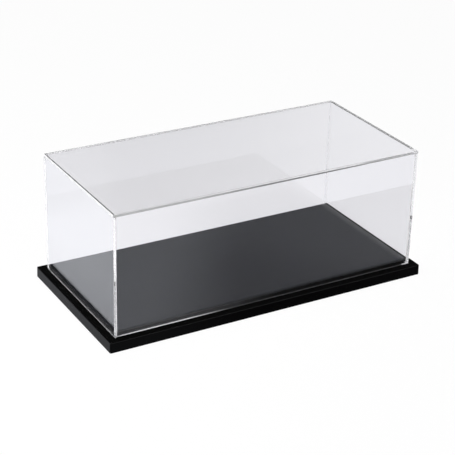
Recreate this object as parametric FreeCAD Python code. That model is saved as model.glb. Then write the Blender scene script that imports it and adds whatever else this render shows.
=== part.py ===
import FreeCAD, Part
import math
import os

# Display case for one scale model: a clear acrylic cover that stands over the raised deck of a black plinth.
# Sizes are millimetres. The origin is under the middle of the plinth, on the table, with the length along X,
# the front towards -Y and up along +Z.

# Clear cover, outside sizes
cover_length = 320.0
cover_depth = 150.0
cover_height = 120.0
sheet_thickness = 2.5
sheet_arris = 0.25

# Cement seams between the sheets
cement_film = 0.1
seam_setback = 0.3

# Plinth moulding
ledge_width = 8.0
flange_height = 10.0
plinth_corner_radius = 1.5
flange_arris_radius = 0.5
draft_angle = 1.0

# Raised deck that the cover drops over
deck_rise = 6.0
deck_corner_radius = 1.5
deck_edge_radius = 1.2
cover_play = 0.4

# Hollow underside of the plinth
moulding_wall = 2.5
rib_thickness = 1.6
rib_spacing = 33.0
rib_setback = 0.6
inner_corner_radius = 1.0

# Places and sizes that follow from those above
plinth_length = cover_length + 2 * ledge_width
plinth_depth = cover_depth + 2 * ledge_width
deck_length = cover_length - 2 * (sheet_thickness + cover_play)
deck_depth = cover_depth - 2 * (sheet_thickness + cover_play)
deck_top = flange_height + deck_rise
cover_foot = flange_height
cover_top = cover_foot + cover_height
wall_top = cover_top - sheet_thickness - cement_film
wall_height = wall_top - cover_foot
draft_per_height = math.tan(math.radians(draft_angle))


def rounded_outline(length, depth, corner_radius, height):
    """Closed outline of a rectangle with rounded corners, centred on the Z axis and lying at one height."""
    straight_x = length / 2 - corner_radius
    straight_y = depth / 2 - corner_radius
    edges = []
    for quarter in range(4):
        turn = math.pi / 2 * quarter
        centre_x = straight_x if quarter in (0, 3) else -straight_x
        centre_y = straight_y if quarter in (0, 1) else -straight_y
        arc_points = []
        for step in range(3):
            angle = turn + math.pi / 4 * step
            x = centre_x + corner_radius * math.cos(angle)
            y = centre_y + corner_radius * math.sin(angle)
            arc_points.append(FreeCAD.Vector(x, y, height))
        if edges:
            edges.append(Part.LineSegment(edges[-1].EndPoint, arc_points[0]))
        edges.append(Part.Arc(*arc_points))
    edges.append(Part.LineSegment(edges[-1].EndPoint, edges[0].StartPoint))
    return Part.Wire([edge.toShape() for edge in edges])


def drafted_block(length, depth, corner_radius, foot, top):
    """Block with rounded upright corners whose sides lean in towards the top by the mould's draft."""
    lean = 2 * (top - foot) * draft_per_height
    lower = rounded_outline(length, depth, corner_radius, foot)
    upper = rounded_outline(length - lean, depth - lean, corner_radius, top)
    return Part.makeLoft([lower, upper], True, True)


def edges_at_height(shape, height):
    """Edges of a shape that lie wholly at one height."""
    level = 1e-4
    found = []
    for edge in shape.Edges:
        box = edge.BoundBox
        if abs(box.ZMin - height) < level and abs(box.ZMax - height) < level:
            found.append(edge)
    return found


def make_underside_hollow():
    """Stepped space under the flange and the deck, one wall thickness inside the outer faces."""
    flange_ceiling = flange_height - moulding_wall
    deck_ceiling = deck_top - moulding_wall
    flange_space = drafted_block(
        plinth_length - 2 * moulding_wall,
        plinth_depth - 2 * moulding_wall,
        inner_corner_radius,
        0,
        flange_ceiling,
    )
    deck_space = drafted_block(
        deck_length - 2 * moulding_wall,
        deck_depth - 2 * moulding_wall,
        inner_corner_radius,
        flange_ceiling,
        deck_ceiling,
    )
    return flange_space.fuse(deck_space).removeSplitter()


def rib_places(space):
    """Even places of the ribs across a space, so that no cell between them is wider than the spacing."""
    cells = math.ceil(space / rib_spacing)
    pitch = space / cells
    return [pitch * count - space / 2 for count in range(1, cells)]


def make_ribs():
    """Grid of stiffening ribs under the plinth, set back from the table so that only the rim touches it."""
    height = deck_top - rib_setback
    ribs = []
    for x in rib_places(plinth_length - 2 * moulding_wall):
        corner = FreeCAD.Vector(x - rib_thickness / 2, -plinth_depth / 2, rib_setback)
        ribs.append(Part.makeBox(rib_thickness, plinth_depth, height, corner))
    for y in rib_places(plinth_depth - 2 * moulding_wall):
        corner = FreeCAD.Vector(-plinth_length / 2, y - rib_thickness / 2, rib_setback)
        ribs.append(Part.makeBox(plinth_length, rib_thickness, height, corner))
    return ribs


def make_plinth():
    """Black moulding: flange, raised deck with a soft edge, and a ribbed hollow underneath."""
    flange = drafted_block(plinth_length, plinth_depth, plinth_corner_radius, 0, flange_height)
    flange = flange.makeFillet(flange_arris_radius, edges_at_height(flange, flange_height))
    deck = drafted_block(deck_length, deck_depth, deck_corner_radius, flange_height, deck_top)
    deck = deck.makeFillet(deck_edge_radius, edges_at_height(deck, deck_top))
    cells = make_underside_hollow().cut(make_ribs())
    return flange.fuse(deck).cut(cells).removeSplitter()


def make_sheet(low, high, broken_edges):
    """Flat sheet between two corners, with the arris broken on the edges that a test picks out."""
    size = high - low
    sheet = Part.makeBox(size.x, size.y, size.z, low)
    picked = [edge for edge in sheet.Edges if broken_edges(edge.BoundBox)]
    return sheet.makeChamfer(sheet_arris, picked)


def make_top_panel():
    """Top sheet, lying on the four walls with its edges flush with their outer faces."""
    low = FreeCAD.Vector(-cover_length / 2, -cover_depth / 2, cover_top - sheet_thickness)
    high = FreeCAD.Vector(cover_length / 2, cover_depth / 2, cover_top)
    return make_sheet(low, high, lambda box: box.ZMax > cover_top - sheet_arris)


def make_side_panel(side):
    """End wall that runs the full depth; side is -1 for the left and 1 for the right."""
    outer = side * cover_length / 2
    inner = outer - side * sheet_thickness
    low = FreeCAD.Vector(min(outer, inner), -cover_depth / 2, cover_foot)
    high = FreeCAD.Vector(max(outer, inner), cover_depth / 2, wall_top)

    def exposed(box):
        is_foot = box.ZMax < cover_foot + sheet_arris
        is_outer_corner = box.ZLength > wall_height / 2 and abs(box.Center.x - outer) < sheet_arris
        return is_foot or is_outer_corner

    return make_sheet(low, high, exposed)


def make_long_panel(side):
    """Front or rear wall that stands between the end walls; side is -1 for the front and 1 for the rear."""
    outer = side * cover_depth / 2
    inner = outer - side * sheet_thickness
    reach = cover_length / 2 - sheet_thickness - cement_film
    low = FreeCAD.Vector(-reach, min(outer, inner), cover_foot)
    high = FreeCAD.Vector(reach, max(outer, inner), wall_top)
    return make_sheet(low, high, lambda box: box.ZMax < cover_foot + sheet_arris)


def make_corner_seam(side_x, side_y):
    """Upright film of cement between an end wall and a long wall, set back from both faces of the joint."""
    joint_x = side_x * (cover_length / 2 - sheet_thickness)
    film_x = joint_x - side_x * cement_film
    outer_y = side_y * (cover_depth / 2 - seam_setback)
    inner_y = side_y * (cover_depth / 2 - sheet_thickness + seam_setback)
    corner = FreeCAD.Vector(min(joint_x, film_x), min(outer_y, inner_y), cover_foot + seam_setback)
    return Part.makeBox(cement_film, abs(outer_y - inner_y), wall_height - seam_setback, corner)


def make_long_top_seam(side):
    """Film of cement on the top edge of the front or rear wall, between the end walls' films."""
    reach = cover_length / 2 - sheet_thickness
    outer_y = side * (cover_depth / 2 - seam_setback)
    inner_y = side * (cover_depth / 2 - sheet_thickness + seam_setback)
    corner = FreeCAD.Vector(-reach, min(outer_y, inner_y), wall_top)
    return Part.makeBox(2 * reach, abs(outer_y - inner_y), cement_film, corner)


def make_side_top_seam(side):
    """Film of cement on the top edge of an end wall, over its full depth."""
    reach = cover_depth / 2 - seam_setback
    outer_x = side * (cover_length / 2 - seam_setback)
    inner_x = side * (cover_length / 2 - sheet_thickness + seam_setback)
    corner = FreeCAD.Vector(min(outer_x, inner_x), -reach, wall_top)
    return Part.makeBox(abs(outer_x - inner_x), 2 * reach, cement_film, corner)


def make_pieces():
    """Every separate piece of the case, by the name of its node."""
    pieces = {"plinth": make_plinth(), "top_panel": make_top_panel()}
    for side_name, side_x in (("left", -1), ("right", 1)):
        pieces[side_name + "_panel"] = make_side_panel(side_x)
        pieces["seam_top_" + side_name] = make_side_top_seam(side_x)
    for face_name, side_y in (("front", -1), ("rear", 1)):
        pieces[face_name + "_panel"] = make_long_panel(side_y)
        pieces["seam_top_" + face_name] = make_long_top_seam(side_y)
        for side_name, side_x in (("left", -1), ("right", 1)):
            pieces["seam_" + face_name + "_" + side_name] = make_corner_seam(side_x, side_y)
    return pieces


os.makedirs("parts", exist_ok=True)
for node, shape in make_pieces().items():
    shape.exportStep("parts/" + node + ".step")
    print(node, "solids", len(shape.Solids), "valid", shape.isValid(), "volume", round(shape.Volume, 1))
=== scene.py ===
"""Looks of a display case for one scale model: a clear glued cover on a black moulded plinth.

Sizes are in metres, from the point on the table under the middle of the plinth.
"""

import math
import random

import bmesh
import bpy
from mathutils import Matrix, Vector


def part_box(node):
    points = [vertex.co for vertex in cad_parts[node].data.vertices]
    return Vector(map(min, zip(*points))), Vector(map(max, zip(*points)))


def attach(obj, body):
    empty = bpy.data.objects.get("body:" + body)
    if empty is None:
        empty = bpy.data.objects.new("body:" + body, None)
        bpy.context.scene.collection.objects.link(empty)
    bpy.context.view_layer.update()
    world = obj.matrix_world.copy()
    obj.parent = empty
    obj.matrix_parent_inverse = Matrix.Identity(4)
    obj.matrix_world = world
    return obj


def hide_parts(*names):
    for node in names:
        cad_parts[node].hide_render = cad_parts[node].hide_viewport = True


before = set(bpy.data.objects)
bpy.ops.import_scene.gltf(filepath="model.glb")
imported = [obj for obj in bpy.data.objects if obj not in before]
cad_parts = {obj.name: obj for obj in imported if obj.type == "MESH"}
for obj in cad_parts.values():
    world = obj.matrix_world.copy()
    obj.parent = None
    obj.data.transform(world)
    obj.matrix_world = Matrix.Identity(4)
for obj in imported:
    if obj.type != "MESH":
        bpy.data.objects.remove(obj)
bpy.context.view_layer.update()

bl_info = {
    "name": "Display case",
    "version": (1, 0, 0),
    "blender": (4, 5, 0),
    "location": "3D View > Sidebar > Display case",
    "description": "Finishes a clear acrylic display case on its black plinth and sets up a white studio",
    "category": "Object",
}

MILLIMETRE = 0.001
FLANGE_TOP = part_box("left_panel")[0].z
X, Y, Z = 0, 1, 2
LOW, HIGH = 0, 1
WHITE = (1.0, 1.0, 1.0, 1.0)
LIGHT_BOUNCES = 48

# Clear sheets: the axis that the faces lie across, and the finish of each bare edge, by its axis and end
SHEETS = {
    "top_panel": (
        Z,
        {
            (X, LOW): "Sawn edge",
            (X, HIGH): "Scraped edge",
            (Y, LOW): "Rubbed edge",
            (Y, HIGH): "Rubbed edge",
        },
    ),
    "left_panel": (X, {(Z, LOW): "Short foot", (Y, LOW): "Scraped edge", (Y, HIGH): "Scraped edge"}),
    "right_panel": (X, {(Z, LOW): "Sawn edge", (Y, LOW): "Scraped edge", (Y, HIGH): "Scraped edge"}),
    "front_panel": (Y, {(Z, LOW): "Long foot"}),
    "rear_panel": (Y, {(Z, LOW): "Long foot"}),
}
CORNER_SEAMS = ("seam_front_left", "seam_front_right", "seam_rear_left", "seam_rear_right")
TOP_SEAMS = ("seam_top_front", "seam_top_rear", "seam_top_left", "seam_top_right")

# Stretches of X over which the light foot turns to painted shade and the cement smear turns dim, and then
# both turn light again
FOOT_FADES = ((-0.089, -0.039), (0.154, 0.151))
SMEAR_FADES = ((-0.08, 0.01), (0.16, 0.08))

# Stretches over which the cement under the top changes its colour: X on the front, Y on the right
FRONT_CEMENT_END = (0.05, 0.12)
RIGHT_CEMENT_END = (-0.063, -0.070)

# Cement films: length of a ripple, its depth, and how far and over how many ripples the ends are tucked in
RIPPLE_LENGTH = 0.8 * MILLIMETRE
CORNER_RIPPLE = 0.01 * MILLIMETRE
TOP_RIPPLE = 0.04 * MILLIMETRE
TUCK_SHARE = 0.3
TUCK_RIPPLES = 1.5

# Heights on the plinth over which its finish, the painted highlight on the flange's arris and the painted
# light on the deck's sides change, in millimetres above the flange's top
ARRIS_HIGHLIGHT_START = (-0.55, -0.4)
ARRIS_END = (-0.02, -0.07)
DECK_SIDE_START = (0.05, 0.1)
DECK_TOP_START = (4.3, 5.0)

# Raised deck: half its length and depth, the width and share of the roll-off at its edges, and where and how
# much painted light lies on its left and front sides, fading along the front towards the right
DECK_END = 0.157
DECK_FRONT = 0.072
END_ROLL = 0.0095
FRONT_ROLL = 0.004
END_SINK = 1.0
FRONT_SINK = 0.07
LEFT_SIDE = (-0.155, -0.156)
FRONT_SIDE = (-0.070, -0.071)
FRONT_FADE = (-0.1, 0.03)
LEFT_RISER_LIGHT = 0.45
FRONT_RISER_LIGHT = (1.0, 0.15)

# Floor in shiny faces: two places along a direction, and the dimming or the level from the one to the other
SLANT = 0.62
OUTWARD_SLANT = 0.6
DIM_IN_FRONT = (-0.07, -0.09)
DIM_RIGHTWARDS = (-0.1845, -0.0685, 0.2, 0.8)
DIM_OUTWARDS = (0.1, 0.24, 0.0, 0.14)
LEVEL_BACKWARDS = (0.17, 0.28, 1.19, 0.84)
LEVEL_BESIDE = (-0.160, -0.168, 1.0, 0.93)
LEVEL_LEFTWARDS = (-0.168, -0.21)

# Shade on the floor through clear faces, in the same way, and the stretches at which a shade begins
SHADE_UNDER = (-0.06, 0.075, 0.0, 0.09)
UNDER_ENDS = {"X": (0.19, 0.15), "Y": (0.185, 0.145)}
SHADE_BESIDE = (0.17, 0.2, 0.09, 0.03)
BESIDE_ENDS = {"X": (0.16, 0.168), "Y": (0.13, 0.08)}
SHADE_FAR = (0.08, 0.22, 0.0, 0.03)

# Directions in the room, by their share of X, over which it turns lighter to the right and to the left
WINDOW_START = (0.405, 0.58)
WALL_START = (0.415, 0.375)


def colour_setting(name, description, default):
    """Colour that a user may change."""
    return bpy.props.FloatVectorProperty(
        name=name, description=description, subtype="COLOR", size=3, min=0, max=1, default=default
    )


def length_setting(name, description, default):
    """Length that a user may change."""
    return bpy.props.FloatProperty(name=name, description=description, unit="LENGTH", default=default)


def factor_setting(name, description, default):
    """Share from 0 to 1 that a user may change."""
    return bpy.props.FloatProperty(
        name=name, description=description, subtype="FACTOR", min=0, max=1, default=default
    )


def angle_setting(name, description, degrees):
    """Angle that a user may change."""
    return bpy.props.FloatProperty(
        name=name, description=description, subtype="ANGLE", default=math.radians(degrees)
    )


def number_setting(name, description, default):
    """Plain number that a user may change."""
    return bpy.props.FloatProperty(name=name, description=description, min=0, default=default)


def place_setting(name, description, default):
    """Point in space that a user may change."""
    return bpy.props.FloatVectorProperty(
        name=name, description=description, subtype="TRANSLATION", unit="LENGTH", size=3, default=default
    )


class AcrylicSettings(bpy.types.PropertyGroup):
    """Shape and finish of the clear sheets."""

    tint: colour_setting("Tint", "Colour that light takes on through one sheet", (0.99, 0.99, 0.995))
    refraction: number_setting("Refraction", "Index of refraction of cast acrylic", 1.49)
    shadow_pass: colour_setting("Shadow pass", "Lamp light that a clear face lets by", (0.96, 0.96, 0.96))
    smudge_roughness: factor_setting("Smudge roughness", "Roughness of the faces where smudged", 0.02)
    arris: length_setting("Arris", "Width of the broken arrises", 0.25 * MILLIMETRE)
    foot_gap: length_setting("Foot gap", "Hair of air between the walls and the plinth", 0.03 * MILLIMETRE)
    edge_colour: colour_setting("Edge colour", "Colour of the bare edges", (0.93, 0.93, 0.95))
    smear_left: length_setting("Smear left", "Height of the cement smear at its left", 2.2 * MILLIMETRE)
    smear_right: length_setting("Smear right", "Height of the cement smear at its right", 0.8 * MILLIMETRE)
    smear_colour: colour_setting("Smear colour", "Colour of the smear near its ends", (0.58, 0.58, 0.59))
    smear_dark: colour_setting("Smear dark", "Colour of the smear in the middle", (0.27, 0.27, 0.275))
    foot_light: colour_setting("Foot light", "Colour of a long wall's light foot", (0.87, 0.87, 0.89))
    # Painted shade on the left wall's foot: grey as seen along the sheet, darker as seen straight through the
    # wall
    short_foot_painted_shade: colour_setting("Foot side", "Colour of the left foot along the sheet", (0.36, 0.36, 0.37))
    short_foot_straight_shade: colour_setting("Foot dim", "Colour of the left foot, seen straight", (0.2, 0.2, 0.21))
    # Painted shade on the middle of a long wall's foot, between its light left end and its right corner
    long_foot_painted_shade: colour_setting("Foot dark", "Colour of a long wall's dim foot", (0.026, 0.026, 0.028))
    scraped_roughness: factor_setting("Scraped roughness", "Roughness of uprights and top's right edge", 0.02)
    scraped_clearness: factor_setting("Scraped clearness", "How clear uprights and top's right edge are", 1.0)
    rubbed_roughness: factor_setting("Rubbed roughness", "Roughness of the long edges of the top", 0.3)
    rubbed_clearness: factor_setting("Rubbed clearness", "How clear the long edges of the top are", 1.0)
    sawn_roughness: factor_setting("Sawn roughness", "Roughness of the top's left edge and the foot", 0.5)
    sawn_clearness: factor_setting("Sawn clearness", "How clear the top's left edge and the foot are", 0.2)


class SeamSettings(bpy.types.PropertyGroup):
    """Shape and finish of the cement seams."""

    bite: length_setting("Bite", "How far the cement has softened the sheet on each side", 0.02 * MILLIMETRE)
    corner_colour: colour_setting("Corner cement", "Colour of the cement in the corners", (0.95, 0.95, 0.96))
    front_cover: factor_setting("Front cover", "How much the cement in the front corners hides", 0.85)
    rear_cover: factor_setting("Rear cover", "How much the cement in the rear left corner hides", 1.0)
    clear_cover: factor_setting("Clear cover", "How much the cement in the rear right corner hides", 0.2)
    top_colour: colour_setting("Top cement", "Colour of the cement under the top sheet", (0.17, 0.17, 0.175))
    pale_colour: colour_setting("Pale cement", "Colour of the top's cement where pale", (0.55, 0.55, 0.56))


class PlinthSettings(bpy.types.PropertyGroup):
    """Finish of the black moulding."""

    colour: colour_setting("Black", "Colour of the polished flange", (0.0008, 0.0008, 0.0008))
    # Painted highlight along the flange's arris, standing in for the light that the rounded arris catches
    arris_painted_highlight: colour_setting("Arris", "Colour of the flange's rubbed arris", (0.012, 0.012, 0.0125))
    deck_colour: colour_setting("Deck", "Colour of the dull deck", (0.0109, 0.0112, 0.0142))
    # Painted light on the deck's sides, lightest at the front left, standing in for light from the cover's
    # lit foot
    riser_painted_light: colour_setting("Riser", "Colour of the deck's sides where dullest", (0.066, 0.066, 0.068))
    # Painted highlight along the deck's right rim, standing in for the light that its rounded edge catches
    rim_painted_highlight: colour_setting("Rim", "Colour of the deck's rubbed right rim", (0.038, 0.0385, 0.042))
    refraction: number_setting("Refraction", "Index of refraction of the plastic's skin", 1.14)
    flange_roughness: factor_setting("Flange roughness", "Roughness of the flange's polished sides", 0.1)
    ledge_roughness: factor_setting("Ledge roughness", "Roughness of the flat ledge round the cover", 0.9)
    deck_roughness: factor_setting("Deck roughness", "Roughness of the grained deck", 0.42)
    haze: factor_setting("Haze", "Roughness that smudges add", 0.03)
    grain_size: length_setting("Grain size", "Size of the grain on the deck", 0.35 * MILLIMETRE)
    grain_depth: length_setting("Grain depth", "Depth of the grain on the deck", 0.03 * MILLIMETRE)
    sink_depth: length_setting("Sink depth", "How far the deck sinks at its short edges", 2.2 * MILLIMETRE)


class StageSettings(bpy.types.PropertyGroup):
    """Floor, light and camera."""

    floor_size: length_setting("Floor size", "Side of the square floor", 24.0)
    floor_colour: colour_setting("Floor", "Colour of the floor in the lamp's light", (0.95, 0.95, 0.95))
    floor_tint: colour_setting("Floor tint", "Colour of the floor through clear faces", (0.957, 0.951, 0.982))
    floor_sheen: colour_setting("Floor sheen", "Colour of the floor in shiny faces", (0.915, 0.94, 1.0))
    floor_white: factor_setting("Floor white", "Share of the floor's look that takes no shadow", 0.93)
    ambient: number_setting("Ambient light", "Level of the even light from all round", 0.4)
    room: number_setting("Room", "How bright the dim middle of the room looks in shiny faces", 0.13)
    window: number_setting("Window", "How bright the right of the room looks in shiny faces", 0.66)
    wall: number_setting("Wall", "How bright the left of the room looks in shiny faces", 0.22)
    lamp_power: bpy.props.FloatProperty(
        name="Lamp", description="Power of the large soft lamp overhead", unit="POWER", default=23.0
    )
    lamp_size: length_setting("Lamp size", "Side of the square lamp", 1.1)
    lamp_place: place_setting("Lamp place", "Middle of the lamp", (-1.05, -0.2, 1.3))
    lens: number_setting("Lens", "Focal length on a 36 mm wide frame, in millimetres", 113.752)
    azimuth: angle_setting("Azimuth", "Camera's turn to the left, from straight ahead of the front", 30.28)
    elevation: angle_setting("Elevation", "Camera's angle above the table", 25.72)
    roll: angle_setting("Roll", "Camera's tilt about its own line of sight", 1.577)
    distance: length_setting("Distance", "Camera's distance from the point it looks at", 1.379)
    aim: place_setting("Aim", "Point that the camera looks at", (-0.00539, -0.00298, 0.05394))


# Nodes


def set_input(tree, socket, value):
    """Links a socket to an input, or sets a plain value on it."""
    if isinstance(value, bpy.types.NodeSocket):
        tree.links.new(value, socket)
    else:
        socket.default_value = value


def add_math(tree, operation, first, second=0.0):
    """Result of a sum on links or plain numbers."""
    node = tree.nodes.new("ShaderNodeMath")
    node.operation = operation
    set_input(tree, node.inputs[0], first)
    set_input(tree, node.inputs[1], second)
    return node.outputs[0]


def add_range(tree, value, start, end, low=0.0, high=1.0):
    """Value that goes smoothly from low at the start to high at the end."""
    node = tree.nodes.new("ShaderNodeMapRange")
    node.interpolation_type = "SMOOTHSTEP"
    parts = {"Value": value, "From Min": start, "From Max": end, "To Min": low, "To Max": high}
    for label, part in parts.items():
        set_input(tree, node.inputs[label], part)
    return node.outputs["Result"]


def add_mix(tree, share, first, second):
    """Value between two values, which are links or plain numbers."""
    node = tree.nodes.new("ShaderNodeMix")
    for label, value in (("Factor", share), ("A", first), ("B", second)):
        set_input(tree, node.inputs[label], value)
    return node.outputs["Result"]


def add_colour_mix(tree, share, first, second):
    """Colour between two colours, which are links or plain values."""
    node = tree.nodes.new("ShaderNodeMix")
    node.data_type = "RGBA"
    set_input(tree, node.inputs["Factor"], share)
    for label, value in (("A", first), ("B", second)):
        socket = next(s for s in node.inputs if s.name == label and s.type == "RGBA")
        set_input(tree, socket, value)
    return next(s for s in node.outputs if s.type == "RGBA")


def add_shader_mix(tree, share, first, second):
    """Blend of two shaders."""
    node = tree.nodes.new("ShaderNodeMixShader")
    set_input(tree, node.inputs["Fac"], share)
    tree.links.new(first, node.inputs[1])
    tree.links.new(second, node.inputs[2])
    return node.outputs["Shader"]


def split_place(tree, kind):
    """Place of a point on a surface, or direction in the world, as three numbers."""
    place = tree.nodes.new("ShaderNodeTexCoord")
    parts = tree.nodes.new("ShaderNodeSeparateXYZ")
    tree.links.new(place.outputs[kind], parts.inputs[0])
    return parts.outputs


def add_piped(tree, light):
    """1 for a ray that a clear sheet carries along inside itself, between its faces."""
    turns = add_math(tree, "SUBTRACT", light.outputs["Glossy Depth"], 1.0)
    carried = add_math(tree, "MINIMUM", turns, light.outputs["Transmission Depth"])
    return add_math(tree, "GREATER_THAN", carried, 0.5)


def add_mirrored(tree, light):
    """1 for a ray that a shiny face has mirrored."""
    return add_math(tree, "GREATER_THAN", light.outputs["Glossy Depth"], 0.5)


def opaque(colour, strength=1.0):
    """Colour with its alpha, for a colour socket."""
    return (*[strength * part for part in colour], 1.0)


# Effects that several finishes share


def new_group(name, inputs, output):
    """Empty shader node group; returns the tree, its input node and its one output socket."""
    tree = bpy.data.node_groups.new(name, "ShaderNodeTree")
    for label, kind, default in inputs:
        socket = tree.interface.new_socket(name=label, in_out="INPUT", socket_type=kind)
        socket.default_value = default
    tree.interface.new_socket(name=output, in_out="OUTPUT", socket_type="NodeSocketFloat")
    return tree, tree.nodes.new("NodeGroupInput"), tree.nodes.new("NodeGroupOutput").inputs[output]


def noise_of(tree, size, detail):
    """Random value from 0 to 1 over a surface, in patches of a given size."""
    place = tree.nodes.new("ShaderNodeTexCoord")
    noise = tree.nodes.new("ShaderNodeTexNoise")
    noise.inputs["Detail"].default_value = detail
    tree.links.new(place.outputs["Object"], noise.inputs["Vector"])
    tree.links.new(add_math(tree, "DIVIDE", 1.0, size), noise.inputs["Scale"])
    return noise.outputs["Fac"]


def make_smudges():
    """Soft cloudy mask, as handling leaves on a surface."""
    inputs = [("Patch Size", "NodeSocketFloat", 0.05), ("Start", "NodeSocketFloat", 0.45)]
    tree, start, mask = new_group("Smudges", inputs, "Mask")
    cloud = noise_of(tree, start.outputs["Patch Size"], detail=5.0)
    softness = 0.25
    end = add_math(tree, "ADD", start.outputs["Start"], softness)
    tree.links.new(add_range(tree, cloud, start.outputs["Start"], end), mask)
    return tree


def make_grain():
    """Height of a fine random grain."""
    tree, start, height = new_group("Grain", [("Grain Size", "NodeSocketFloat", 0.0004)], "Height")
    tree.links.new(noise_of(tree, start.outputs["Grain Size"], detail=2.0), height)
    return tree


EFFECTS = {"Smudges": make_smudges, "Grain": make_grain}


def place_effect(tree, name, **values):
    """Shared effect in a material, with the material's own values."""
    node = tree.nodes.new("ShaderNodeGroup")
    node.node_tree = bpy.data.node_groups.get(name) or EFFECTS[name]()
    for key, value in values.items():
        node.inputs[key.replace("_", " ").title()].default_value = value
    return node.outputs[0]


# Finishes


def new_material(name):
    """Node material with one Principled shader; returns the material, its tree and the shader."""
    material = bpy.data.materials.new(name)
    material.use_nodes = True
    tree = material.node_tree
    tree.nodes.clear()
    shader = tree.nodes.new("ShaderNodeBsdfPrincipled")
    output = tree.nodes.new("ShaderNodeOutputMaterial")
    tree.links.new(shader.outputs["BSDF"], output.inputs["Surface"])
    return material, tree, shader


def blend_in(tree, shader, share, other):
    """Shows another shader in place of a material's own one, by a share."""
    surface = shader.outputs["BSDF"].links[0].to_socket
    tree.links.new(add_shader_mix(tree, share, shader.outputs["BSDF"], other), surface)


def add_bump(tree, shader, height, depth):
    """Fine relief on a shader."""
    bump = tree.nodes.new("ShaderNodeBump")
    bump.inputs["Distance"].default_value = depth
    tree.links.new(height, bump.inputs["Height"])
    tree.links.new(bump.outputs["Normal"], shader.inputs["Normal"])


def clear_material(settings):
    """Polished face of a clear sheet, with faint smudges, that lets the lamp's light through."""
    material, tree, shader = new_material("Clear acrylic")
    shader.inputs["Base Color"].default_value = opaque(settings.tint)
    shader.inputs["IOR"].default_value = settings.refraction
    shader.inputs["Transmission Weight"].default_value = 1.0
    smudge = place_effect(tree, "Smudges", patch_size=0.06, start=0.5)
    tree.links.new(add_math(tree, "MULTIPLY", smudge, settings.smudge_roughness), shader.inputs["Roughness"])
    light = tree.nodes.new("ShaderNodeLightPath")
    passing = tree.nodes.new("ShaderNodeBsdfTransparent")
    passing.inputs["Color"].default_value = opaque(settings.shadow_pass)
    blend_in(tree, shader, light.outputs["Is Shadow Ray"], passing.outputs["BSDF"])
    return material


def patchy(tree, colour, patch_size):
    """Colour with slightly greyer patches."""
    grey = 0.9
    smudge = place_effect(tree, "Smudges", patch_size=patch_size, start=0.4)
    return add_colour_mix(tree, smudge, opaque(colour), opaque(colour, grey))


def dim_between(tree, fades):
    """Dimness that comes in along X over one stretch and goes again over another."""
    along = split_place(tree, "Object")["X"]
    coming, going = [add_range(tree, along, *fade) for fade in fades]
    return add_math(tree, "MULTIPLY", coming, going)


def painted_foot_shade(tree):
    """Painted shade on a long wall's foot, which is light only near the left end and in the right corner."""
    return dim_between(tree, FOOT_FADES)


def dim_smear(tree):
    """Dimness of the cement smear, which is darkest in the middle of the front."""
    return dim_between(tree, SMEAR_FADES)


def painted_straight_shade(tree):
    """Painted shade on the left wall's foot, which is light only as seen along the sheet by way of its faces,
    and darker as seen straight.
    """
    light = tree.nodes.new("ShaderNodeLightPath")
    return add_math(tree, "LESS_THAN", light.outputs["Glossy Depth"], 0.5)


def edge_material(name, refraction, colour, roughness, clearness, dimness=None, dim_colour=None):
    """Cut edge of a clear sheet, which scatters some of the light that reaches it; where a dimness is given,
    its colour turns to the dim colour there, which on the feet is painted shade.
    """
    material, tree, shader = new_material(name)
    shade = patchy(tree, colour, patch_size=0.006)
    if dimness is not None:
        shade = add_colour_mix(tree, dimness(tree), shade, opaque(dim_colour))
    tree.links.new(shade, shader.inputs["Base Color"])
    shader.inputs["Specular IOR Level"].default_value *= clearness
    shader.inputs["IOR"].default_value = refraction
    shader.inputs["Transmission Weight"].default_value = clearness
    shader.inputs["Roughness"].default_value = roughness
    marks = place_effect(tree, "Grain", grain_size=0.0006)
    mark_depth = 0.04 * MILLIMETRE
    add_bump(tree, shader, marks, roughness * mark_depth)
    return material


def edge_materials(settings):
    """Finishes of the bare edges, by name."""
    scraped = (settings.scraped_roughness, settings.scraped_clearness)
    rubbed = (settings.rubbed_roughness, settings.rubbed_clearness)
    sawn = (settings.sawn_roughness, settings.sawn_clearness)
    finishes = {
        "Scraped edge": (settings.edge_colour, *scraped),
        "Rubbed edge": (settings.edge_colour, *rubbed),
        "Sawn edge": (settings.edge_colour, *sawn),
        "Smeared edge": (settings.smear_colour, *sawn, dim_smear, settings.smear_dark),
        # Both feet carry painted shade: the left foot by how it is seen, a long foot by its place along X
        "Short foot": (settings.short_foot_painted_shade, *sawn, painted_straight_shade, settings.short_foot_straight_shade),
        "Long foot": (settings.foot_light, *sawn, painted_foot_shade, settings.long_foot_painted_shade),
    }
    return {name: edge_material(name, settings.refraction, *finish) for name, finish in finishes.items()}


def cement_material(name, colour, cover=1.0, end=None):
    """Set cement with greyer patches; end is an axis, a stretch of it and the colour beyond the stretch."""
    material, tree, shader = new_material(name)
    shade = patchy(tree, colour, patch_size=0.004)
    if end is not None:
        axis, stretch, end_colour = end
        along = split_place(tree, "Object")[axis]
        shade = add_colour_mix(tree, add_range(tree, along, *stretch), shade, opaque(end_colour))
    tree.links.new(shade, shader.inputs["Base Color"])
    shader.inputs["Roughness"].default_value = 0.5
    shader.inputs["Specular IOR Level"].default_value = 0.0
    shader.inputs["Alpha"].default_value = cover
    return material


def add_height(tree, place, heights):
    """Value that goes from 0 to 1 between two heights in millimetres above the flange's top."""
    start, end = [FLANGE_TOP + height * MILLIMETRE for height in heights]
    return add_range(tree, place["Z"], start, end)


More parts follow.
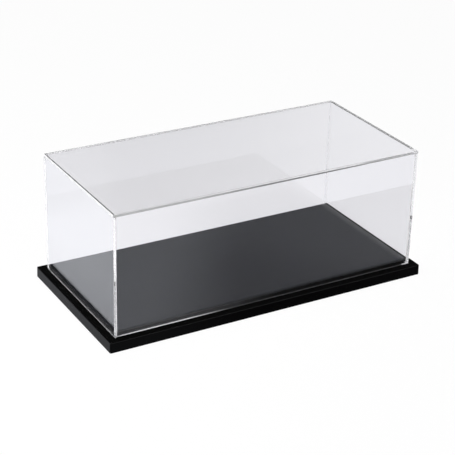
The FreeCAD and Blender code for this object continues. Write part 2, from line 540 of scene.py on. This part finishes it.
def plinth_colour(tree, settings, place, smudge, deck):
    """Colour of the plinth: black with a painted highlight on the flange's arris, dull on the deck with a
    painted highlight on its right rim, and with painted light on the deck's left and front sides.
    """
    # Painted highlight: a paler band along the flange's arris
    arris = add_height(tree, place, ARRIS_HIGHLIGHT_START)
    arris = add_math(tree, "MULTIPLY", arris, add_height(tree, place, ARRIS_END))
    polished = add_colour_mix(tree, arris, opaque(settings.colour), opaque(settings.arris_painted_highlight))
    # Painted light on the deck's left and front sides, fading along the front towards the right
    left = add_range(tree, place["X"], *LEFT_SIDE, 0.0, LEFT_RISER_LIGHT)
    front = add_range(tree, place["Y"], *FRONT_SIDE)
    front = add_math(tree, "MULTIPLY", front, add_range(tree, place["X"], *FRONT_FADE, *FRONT_RISER_LIGHT))
    riser_light = add_math(tree, "MAXIMUM", left, front)
    riser_light = add_math(tree, "MULTIPLY", add_height(tree, place, DECK_SIDE_START), riser_light)
    polished = add_colour_mix(tree, riser_light, polished, opaque(settings.riser_painted_light))
    smudged = 1.1
    dull = add_colour_mix(tree, smudge, opaque(settings.deck_colour), opaque(settings.deck_colour, smudged))
    # Painted highlight: a paler band along the deck's right rim
    rim = add_range(tree, place["X"], DECK_END - END_ROLL, DECK_END)
    dull = add_colour_mix(tree, rim, dull, opaque(settings.rim_painted_highlight))
    return add_colour_mix(tree, deck, polished, dull)


def plinth_roughness(tree, settings, place, smudge, deck):
    """Roughness of the plinth: polished sides, a matt ledge and a dull deck, all a little hazy in patches."""
    sides = add_height(tree, place, ARRIS_END)
    sides = add_math(tree, "MAXIMUM", sides, add_height(tree, place, DECK_SIDE_START))
    skin = add_mix(tree, sides, settings.ledge_roughness, settings.flange_roughness)
    skin = add_mix(tree, deck, skin, settings.deck_roughness)
    return add_math(tree, "ADD", skin, add_math(tree, "MULTIPLY", smudge, settings.haze))


def plinth_material(settings):
    """Black plastic: a polished flange with a matt ledge, and a deck with a fine, dull grain."""
    material, tree, shader = new_material("Black moulding")
    place = split_place(tree, "Object")
    deck = add_height(tree, place, DECK_TOP_START)
    smudge = place_effect(tree, "Smudges", patch_size=0.04, start=0.45)
    tree.links.new(plinth_colour(tree, settings, place, smudge, deck), shader.inputs["Base Color"])
    tree.links.new(plinth_roughness(tree, settings, place, smudge, deck), shader.inputs["Roughness"])
    shader.inputs["IOR"].default_value = settings.refraction
    grain = place_effect(tree, "Grain", grain_size=settings.grain_size)
    relief = add_math(tree, "MULTIPLY", grain, settings.grain_depth / settings.sink_depth)
    rolls = (("X", DECK_END, END_ROLL, END_SINK), ("Y", DECK_FRONT, FRONT_ROLL, FRONT_SINK))
    for axis, edge, width, share in rolls:
        inside = add_math(tree, "SUBTRACT", add_math(tree, "ABSOLUTE", place[axis]), edge - width)
        slope = add_math(tree, "DIVIDE", add_math(tree, "MAXIMUM", inside, 0.0), width)
        sink = add_math(tree, "MULTIPLY", add_math(tree, "POWER", slope, 2.0), share)
        relief = add_math(tree, "SUBTRACT", relief, sink)
    add_bump(tree, shader, add_math(tree, "MULTIPLY", relief, deck), settings.sink_depth)
    return material


# Meshes


def new_piece(builder, node, suffix, slot, *materials):
    """Piece of the cover made from a bmesh, which stands for one CAD node."""
    bmesh.ops.recalc_face_normals(builder, faces=builder.faces)
    mesh = bpy.data.meshes.new(node + suffix)
    for material in materials:
        mesh.materials.append(material)
    builder.to_mesh(mesh)
    builder.free()
    piece = bpy.data.objects.new(node + suffix, mesh)
    bpy.context.scene.collection.objects.link(piece)
    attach(piece, "cover")
    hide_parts(node)


def make_sheet(node, settings, clear, edges):
    """Flat clear sheet with broken arrises, and with bare edges that are duller than its faces."""
    low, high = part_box(node)
    face_axis, finishes = SHEETS[node]
    outer = HIGH if high[face_axis] > abs(low[face_axis]) else LOW
    if face_axis != Z:
        low.z += settings.foot_gap
    first, second = [axis for axis in (X, Y, Z) if axis != face_axis]
    arris = settings.arris
    near = low[face_axis]
    far = high[face_axis]
    steps = (settings.smear_left, settings.smear_right) if face_axis == Z else (arris, arris)
    levels = (
        ((near, near), LOW),
        ((near + steps[LOW], near + steps[HIGH]), None),
        ((far - arris, far - arris), None),
        ((far, far), HIGH),
    )
    builder = bmesh.new()
    rings = []
    for level, face in levels:
        ring = []
        for first_end, second_end in ((LOW, LOW), (HIGH, LOW), (HIGH, HIGH), (LOW, HIGH)):
            point = Vector()
            point[face_axis] = level[first_end]
            for axis, end in ((first, first_end), (second, second_end)):
                is_foot = axis == Z and face is not None
                is_broken = (axis, end) in finishes and (face == outer or is_foot)
                inset = arris if is_broken else 0.0
                point[axis] = high[axis] - inset if end == HIGH else low[axis] + inset
            ring.append(builder.verts.new(point))
        rings.append(ring)
    builder.faces.new(rings[0])
    builder.faces.new(rings[-1])
    sides = ((second, LOW), (first, HIGH), (second, HIGH), (first, LOW))
    for lower, upper in zip(rings, rings[1:]):
        for index, side in enumerate(sides):
            following = (index + 1) % 4
            corners = (lower[index], lower[following], upper[following], upper[index])
            strip = builder.faces.new(corners)
            if side in finishes:
                is_smeared = face_axis == Z and side == (Y, LOW) and lower is rings[0]
                finish = "Smeared edge" if is_smeared else finishes[side]
                strip.material_index = 1 + list(edges).index(finish)
    new_piece(builder, node, "_sheet", "clear_acrylic", clear, *edges.values())


def film_outline(draw, along, width, run, edges, ripple):
    """Outline of a run of cement between two edges, rippled along them and tucked in at its ends."""
    count = max(3, round((run[1] - run[0]) / RIPPLE_LENGTH))
    sides = ([], [])
    for index in range(count + 1):
        share = index / count
        from_end = min(index, count - index) / TUCK_RIPPLES
        tuck = TUCK_SHARE * (edges[1] - edges[0]) * max(0.0, 1 - from_end)
        for side, inwards in ((0, 1), (1, -1)):
            point = [0.0, 0.0, 0.0]
            point[along] = run[0] + share * (run[1] - run[0])
            point[width] = edges[side] + inwards * (draw.uniform(0, ripple) + tuck)
            sides[side].append(point)
    return sides[0] + list(reversed(sides[1]))


def add_film(builder, outline, across, low, high):
    """Thin closed film with a given outline, between two levels of the axis across it."""
    near = []
    far = []
    for point in outline:
        for level, row in ((low, near), (high, far)):
            place = list(point)
            place[across] = level
            row.append(builder.verts.new(place))
    builder.faces.new(near)
    builder.faces.new(far)
    count = len(outline)
    for index in range(count):
        following = (index + 1) % count
        builder.faces.new((near[index], near[following], far[following], far[index]))


def make_corner_seam(node, seed, settings, cement):
    """Upright seam between an end wall and a long wall: one thin run of cement with rippled edges."""
    draw = random.Random(seed)
    low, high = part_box(node)
    builder = bmesh.new()
    outline = film_outline(draw, Z, Y, (low.z, high.z), (low.y, high.y), CORNER_RIPPLE)
    add_film(builder, outline, X, low.x - settings.bite, high.x + settings.bite)
    new_piece(builder, node, "_cement", "set_cement", cement)


def make_top_seam(node, seed, settings, cement):
    """Level seam under the top sheet: one thin run of cement with rippled edges."""
    draw = random.Random(seed)
    low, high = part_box(node)
    along, width = (X, Y) if high.x - low.x > high.y - low.y else (Y, X)
    builder = bmesh.new()
    run = (low[along], high[along])
    outline = film_outline(draw, along, width, run, (low[width], high[width]), TOP_RIPPLE)
    add_film(builder, outline, Z, low.z - settings.bite, high.z + settings.bite)
    new_piece(builder, node, "_cement", "set_cement", cement)


# Stage


def floor_reflection(tree, light, place):
    """Level of the floor in shiny faces: dim in front, more so to the right, and uneven at the left."""
    slant = add_math(tree, "ADD", place["X"], add_math(tree, "MULTIPLY", place["Y"], SLANT))
    outwards = add_math(tree, "SUBTRACT", place["X"], add_math(tree, "MULTIPLY", place["Y"], OUTWARD_SLANT))
    dimming = add_range(tree, slant, *DIM_RIGHTWARDS)
    dimming = add_math(tree, "SUBTRACT", dimming, add_range(tree, outwards, *DIM_OUTWARDS))
    from_inside = add_math(tree, "GREATER_THAN", light.outputs["Transmission Depth"], 2.5)
    dimming = add_math(tree, "MINIMUM", dimming, add_math(tree, "SUBTRACT", 1.0, from_inside))
    dimming = add_math(tree, "MULTIPLY", add_range(tree, place["Y"], *DIM_IN_FRONT), dimming)
    backwards = add_range(tree, place["Y"], *LEVEL_BACKWARDS)
    level = add_range(tree, place["X"], *LEVEL_LEFTWARDS, 1.0, backwards)
    level = add_math(tree, "MULTIPLY", add_range(tree, place["X"], *LEVEL_BESIDE), level)
    return add_math(tree, "MULTIPLY", level, add_math(tree, "SUBTRACT", 1.0, dimming))


def floor_shade(tree, place):
    """Shade on the floor through clear faces: under the case, beside it on the right, and further off."""
    shade = add_range(tree, place["X"], *SHADE_FAR)
    for stretch, ends in ((SHADE_UNDER, UNDER_ENDS), (SHADE_BESIDE, BESIDE_ENDS)):
        patch = add_range(tree, place["X"], *stretch)
        for axis, end in ends.items():
            patch = add_math(tree, "MULTIPLY", patch, add_range(tree, place[axis], *end))
        shade = add_math(tree, "MAXIMUM", shade, patch)
    return shade


def floor_material(settings):
    """Pale floor: white to the camera, a little dimmer in the clear and shiny faces, with a soft shadow."""
    material, tree, shader = new_material("White floor")
    shader.inputs["Base Color"].default_value = opaque(settings.floor_colour)
    shader.inputs["Roughness"].default_value = 0.9
    shader.inputs["Specular IOR Level"].default_value = 0.0
    light = tree.nodes.new("ShaderNodeLightPath")
    place = split_place(tree, "Object")
    mirrored = add_mirrored(tree, light)
    unshaded = add_math(tree, "SUBTRACT", 1.0, floor_shade(tree, place))
    level = add_mix(tree, mirrored, unshaded, floor_reflection(tree, light, place))
    tint = add_colour_mix(tree, mirrored, opaque(settings.floor_tint), opaque(settings.floor_sheen))
    tinted = tree.nodes.new("ShaderNodeVectorMath")
    tinted.operation = "SCALE"
    tree.links.new(tint, tinted.inputs[0])
    tree.links.new(level, tinted.inputs["Scale"])
    bright = add_math(tree, "MAXIMUM", light.outputs["Is Camera Ray"], add_piped(tree, light))
    glow = tree.nodes.new("ShaderNodeEmission")
    tree.links.new(add_colour_mix(tree, bright, tinted.outputs["Vector"], WHITE), glow.inputs["Color"])
    seen = add_math(tree, "MAXIMUM", light.outputs["Is Camera Ray"], light.outputs["Is Transmission Ray"])
    seen = add_math(tree, "MAXIMUM", seen, light.outputs["Is Glossy Ray"])
    share = add_math(tree, "MULTIPLY", seen, settings.floor_white)
    blend_in(tree, shader, share, glow.outputs["Emission"])
    return material


def make_floor(settings):
    """Large plain floor that the case stands on."""
    half = settings.floor_size / 2
    builder = bmesh.new()
    corners = [(-half, -half, 0), (half, -half, 0), (half, half, 0), (-half, half, 0)]
    builder.faces.new([builder.verts.new(corner) for corner in corners])
    mesh = bpy.data.meshes.new("floor")
    mesh.materials.append(floor_material(settings))
    builder.to_mesh(mesh)
    builder.free()
    floor = bpy.data.objects.new("floor", mesh)
    bpy.context.scene.collection.objects.link(floor)


def make_world(settings):
    """Even light from all round, white behind the floor, and a dim room with lighter sides in shiny faces."""
    world = bpy.data.worlds.new("Studio")
    bpy.context.scene.world = world
    world.use_nodes = True
    tree = world.node_tree
    tree.nodes.clear()
    light = tree.nodes.new("ShaderNodeLightPath")
    towards = split_place(tree, "Generated")
    right = add_range(tree, towards["X"], *WINDOW_START, settings.room, settings.window)
    left = add_range(tree, towards["X"], *WALL_START, 0.0, settings.wall)
    mirrored = add_mirrored(tree, light)
    straight = add_math(tree, "SUBTRACT", light.outputs["Is Transmission Ray"], mirrored)
    plain = add_math(tree, "MAXIMUM", light.outputs["Is Camera Ray"], straight)
    plain = add_math(tree, "MAXIMUM", plain, add_piped(tree, light))
    level = add_mix(tree, mirrored, settings.ambient, add_math(tree, "MAXIMUM", left, right))
    level = add_mix(tree, plain, level, 1.0)
    background = tree.nodes.new("ShaderNodeBackground")
    background.inputs["Color"].default_value = WHITE
    tree.links.new(level, background.inputs["Strength"])
    tree.links.new(background.outputs[0], tree.nodes.new("ShaderNodeOutputWorld").inputs["Surface"])


def make_lamp(settings):
    """Large soft lamp overhead, to the left."""
    lamp = bpy.data.lights.new("lamp", "AREA")
    lamp.size = settings.lamp_size
    lamp.energy = settings.lamp_power
    holder = bpy.data.objects.new("lamp", lamp)
    holder.location = settings.lamp_place
    holder.rotation_euler = (-holder.location).to_track_quat("-Z", "Y").to_euler()
    bpy.context.scene.collection.objects.link(holder)


def make_camera(settings):
    """Camera that looks at the case from the front left and above."""
    camera = bpy.data.cameras.new("camera")
    camera.lens = settings.lens
    holder = bpy.data.objects.new("camera", camera)
    bpy.context.scene.collection.objects.link(holder)
    flat = math.cos(settings.elevation)
    back = Vector(
        (
            -math.sin(settings.azimuth) * flat,
            -math.cos(settings.azimuth) * flat,
            math.sin(settings.elevation),
        )
    )
    place = Matrix.Translation(Vector(settings.aim) + back * settings.distance)
    turn = (-back).to_track_quat("-Z", "Y").to_matrix().to_4x4()
    holder.matrix_world = place @ turn @ Matrix.Rotation(settings.roll, 4, "Z")
    bpy.context.scene.camera = holder


# Operators


class DISPLAYCASE_OT_plinth(bpy.types.Operator):
    """Finish the black moulded plinth."""

    bl_idname = "display_case.plinth"
    bl_label = "Finish plinth"

    def execute(self, context):
        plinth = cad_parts["plinth"]
        plinth.data.materials.clear()
        plinth.data.materials.append(plinth_material(context.scene.display_case_plinth))
        return {"FINISHED"}


class DISPLAYCASE_OT_sheets(bpy.types.Operator):
    """Build the five clear sheets of the cover."""

    bl_idname = "display_case.sheets"
    bl_label = "Build clear sheets"

    def execute(self, context):
        settings = context.scene.display_case_acrylic
        clear = clear_material(settings)
        edges = edge_materials(settings)
        for node in SHEETS:
            make_sheet(node, settings, clear, edges)
        return {"FINISHED"}


class DISPLAYCASE_OT_corner_seams(bpy.types.Operator):
    """Build the four upright cement seams."""

    bl_idname = "display_case.corner_seams"
    bl_label = "Build corner seams"

    def execute(self, context):
        settings = context.scene.display_case_seams
        front = cement_material("Front corner cement", settings.corner_colour, settings.front_cover)
        rear = cement_material("Rear corner cement", settings.corner_colour, settings.rear_cover)
        clear = cement_material("Clear corner cement", settings.corner_colour, settings.clear_cover)
        for seed, (node, cement) in enumerate(zip(CORNER_SEAMS, (front, front, rear, clear))):
            make_corner_seam(node, seed, settings, cement)
        return {"FINISHED"}


class DISPLAYCASE_OT_top_seams(bpy.types.Operator):
    """Build the four level cement seams under the top sheet."""

    bl_idname = "display_case.top_seams"
    bl_label = "Build top seams"

    def execute(self, context):
        settings = context.scene.display_case_seams
        dark = settings.top_colour
        pale = settings.pale_colour
        cements = (
            cement_material("Top front cement", dark, end=("X", FRONT_CEMENT_END, settings.corner_colour)),
            cement_material("Top rear cement", pale),
            cement_material("Top left cement", dark),
            cement_material("Top right cement", dark, end=("Y", RIGHT_CEMENT_END, pale)),
        )
        for seed, node in enumerate(TOP_SEAMS):
            make_top_seam(node, seed, settings, cements[seed])
        return {"FINISHED"}


class DISPLAYCASE_OT_stage(bpy.types.Operator):
    """Set up the white floor, the light and the camera."""

    bl_idname = "display_case.stage"
    bl_label = "Set up stage"

    def execute(self, context):
        settings = context.scene.display_case_stage
        make_floor(settings)
        make_world(settings)
        make_lamp(settings)
        make_camera(settings)
        context.scene.view_settings.view_transform = "Standard"
        for kind in ("max_bounces", "glossy_bounces", "transmission_bounces", "transparent_max_bounces"):
            setattr(context.scene.cycles, kind, LIGHT_BOUNCES)
        return {"FINISHED"}


class DISPLAYCASE_PT_sidebar(bpy.types.Panel):
    """Lists the steps that finish the case, and their settings."""

    bl_idname = "DISPLAYCASE_PT_sidebar"
    bl_label = "Display case"
    bl_space_type = "VIEW_3D"
    bl_region_type = "UI"
    bl_category = "Display case"

    def draw(self, context):
        for step in STEPS:
            self.layout.operator(step.bl_idname)
        for name in SETTINGS:
            group = getattr(context.scene, name)
            box = self.layout.box()
            for key in group.__annotations__:
                box.prop(group, key)


STEPS = (
    DISPLAYCASE_OT_plinth,
    DISPLAYCASE_OT_sheets,
    DISPLAYCASE_OT_corner_seams,
    DISPLAYCASE_OT_top_seams,
    DISPLAYCASE_OT_stage,
)
SETTINGS = {
    "display_case_acrylic": AcrylicSettings,
    "display_case_seams": SeamSettings,
    "display_case_plinth": PlinthSettings,
    "display_case_stage": StageSettings,
}


def register():
    """Registers the settings, the steps and the panel."""
    for name, group in SETTINGS.items():
        bpy.utils.register_class(group)
        setattr(bpy.types.Scene, name, bpy.props.PointerProperty(type=group))
    for step in STEPS:
        bpy.utils.register_class(step)
    bpy.utils.register_class(DISPLAYCASE_PT_sidebar)


def unregister():
    """Takes the settings, the steps and the panel away again."""
    bpy.utils.unregister_class(DISPLAYCASE_PT_sidebar)
    for step in reversed(STEPS):
        bpy.utils.unregister_class(step)
    for name, group in SETTINGS.items():
        delattr(bpy.types.Scene, name)
        bpy.utils.unregister_class(group)


def main():
    register()
    bpy.ops.display_case.plinth()
    bpy.ops.display_case.sheets()
    bpy.ops.display_case.corner_seams()
    bpy.ops.display_case.top_seams()
    bpy.ops.display_case.stage()


if __name__ == "__main__":
    main()
